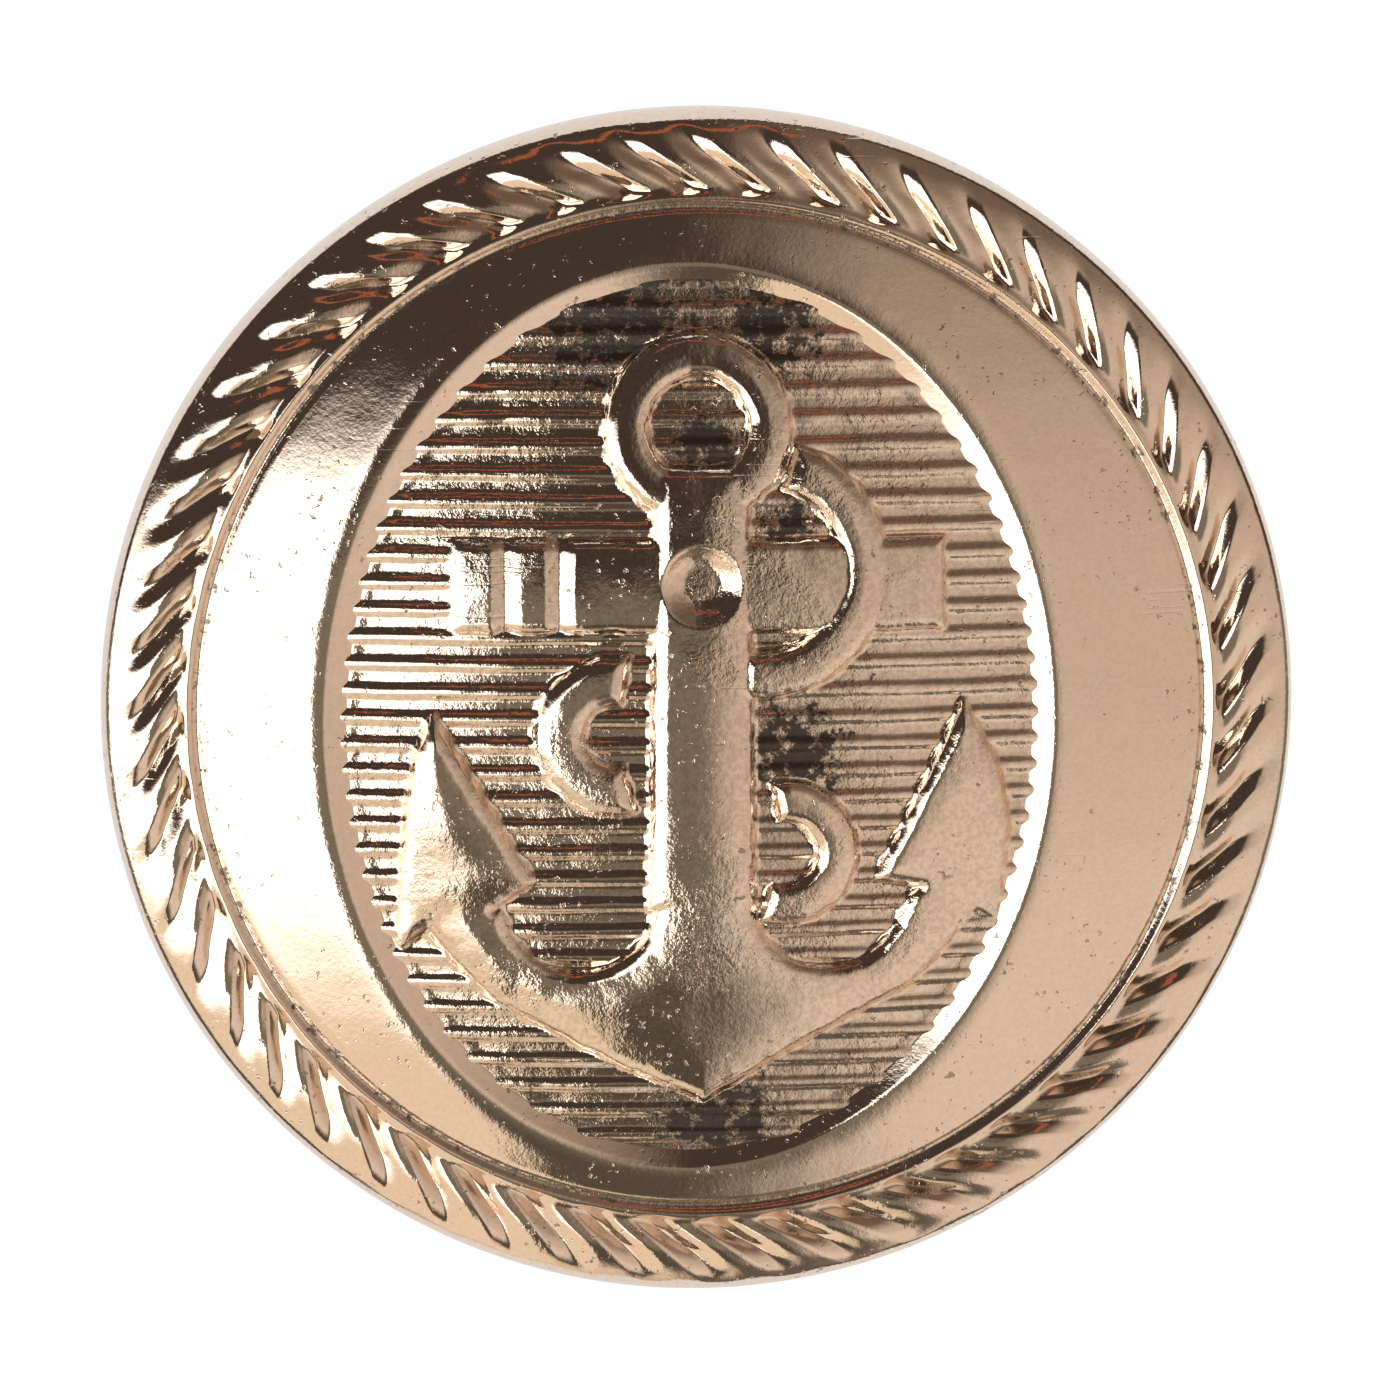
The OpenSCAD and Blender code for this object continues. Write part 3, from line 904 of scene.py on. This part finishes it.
rim, field = front_shell()
for piece, node, slot in ((rim, "front_shell", "rose_gold_face"),
                          (field, "front_shell", "rose_gold_face"),
                          (back_plate(), "back_plate", "rose_gold_back"),
                          (wire_loop(), "wire_shank", "plated_wire"),
                          (clinch_washer(), "clinch_washer", "tinned_steel"),
                          (filler_ring(), "filler_ring", "card")):
    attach(piece, "root")
    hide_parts(node)


# ---------------------------------------------------------------------------
# Camera, studio and floor

def add_camera():
    data = bpy.data.cameras.new("camera")
    data.lens = 200.0
    data.sensor_width = 36.0
    camera = bpy.data.objects.new("camera", data)
    bpy.context.scene.collection.objects.link(camera)
    azimuth, elevation = math.radians(-4.0), math.radians(8.5)
    target = Vector((-0.14, -4.0, 0.29)) * MM
    view_w = 26.63 * MM
    reach = view_w * data.lens / data.sensor_width
    level = math.cos(elevation)
    back = Vector((math.sin(azimuth) * level, -math.cos(azimuth) * level, math.sin(elevation)))
    camera.location = target + back * reach
    camera.rotation_euler = back.to_track_quat("Z", "Y").to_euler()
    data.clip_start = MM
    bpy.context.scene.camera = camera


def studio():
    """A bright sheet on the left, a warm one on the right, and a dark room between them."""
    world = bpy.data.worlds.new("studio")
    bpy.context.scene.world = world
    world.use_nodes = True
    g = Graph(world.node_tree)
    x, y, z = g.split(g.add("ShaderNodeTexCoord", out=0))
    depth = g.number("ARCTAN2", x.abs(), -y) * (360.0 / TAU)
    x, z = x + 0.026, z + 0.06                 # the lens looks from a little above and one side
    ahead = 1.0 - depth.ramp(96.0, 108.0)      # the sheets stand between the object and the lens
    left = (z.ramp(-0.12, -0.42) * 0.12 - x).ramp(0.21, 0.27)
    left = left * (1.0 - z.ramp(0.14, 0.36)) * ahead
    right = x.ramp(0.05, 0.36) * ahead
    paper = depth.ramp(118.0, 128.0)           # the white ground it lies on, seen past its edge
    # the room behind the lens: brown, darker above, with a lit patch low on the left
    room = g.mix(z.ramp(0.0, 0.16), rgb(0.20, 0.176, 0.136), rgb(0.058, 0.044, 0.037))
    room = g.mix(z.ramp(-0.25, -0.52), room, rgb(0.095, 0.080, 0.062))
    room = g.mix(z.ramp(-0.78, -0.90) * x.ramp(0.16, -0.04), room, rgb(0.72, 0.60, 0.46))
    # the warm sheet on the right, which fades upwards and ends low down
    warm = g.mix(z.ramp(0.0, -0.45), rgb(0.61, 0.50, 0.41), rgb(0.75, 0.64, 0.54))
    warm = g.mix(z.ramp(0.0, 0.9), warm, rgb(0.16, 0.115, 0.085))
    warm = g.mix(z.ramp(-0.70, -0.84) * (1.0 - x.ramp(0.30, 0.46)), warm, rgb(0.19, 0.16, 0.13))
    # the bright sheet on the left, warmer below, and a copper strip high up
    bright = g.mix(z.ramp(-0.22, -0.52), rgb(2.3, 2.25, 2.15), rgb(0.86, 0.72, 0.56))
    strip = z.ramp(0.885, 0.905) * (1.0 - z.ramp(0.95, 0.97)) * (1.0 - x.abs().ramp(0.22, 0.34))
    colour = g.mix(right, room, warm)
    colour = g.mix(strip, colour, rgb(0.36, 0.115, 0.062))
    colour = g.mix(left, colour, bright)
    colour = g.mix(paper, colour, rgb(0.80, 0.79, 0.78))
    seen = g.add("ShaderNodeLightPath", out=0)
    colour = g.mix(seen, colour, rgb(1.0, 1.0, 1.0))
    sky = world.node_tree.nodes["Background"]
    world.node_tree.links.new(colour.socket, sky.inputs["Color"])


def pale_floor():
    half, drop = 3.0, -0.05
    points = [(-half, -half, drop), (half, -half, drop), (half, half, drop), (-half, half, drop)]
    floor = make_piece("floor", points, [(0, 1, 2, 3)])
    made, g = material("pale_floor", roughness=0.9)
    tone = g.noise(object_place(g), 0.3, 2.0)
    finish_material(g, base_color=g.mix(tone, rgb(0.93, 0.93, 0.93), rgb(0.96, 0.96, 0.96)))
    g.shader.inputs["Emission Color"].default_value = rgb(1, 1, 1)
    g.shader.inputs["Emission Strength"].default_value = 0.75
    floor.data.materials.append(made)
    floor.visible_glossy = False


add_camera()
studio()
pale_floor()
bpy.context.scene.view_settings.view_transform = "Standard"
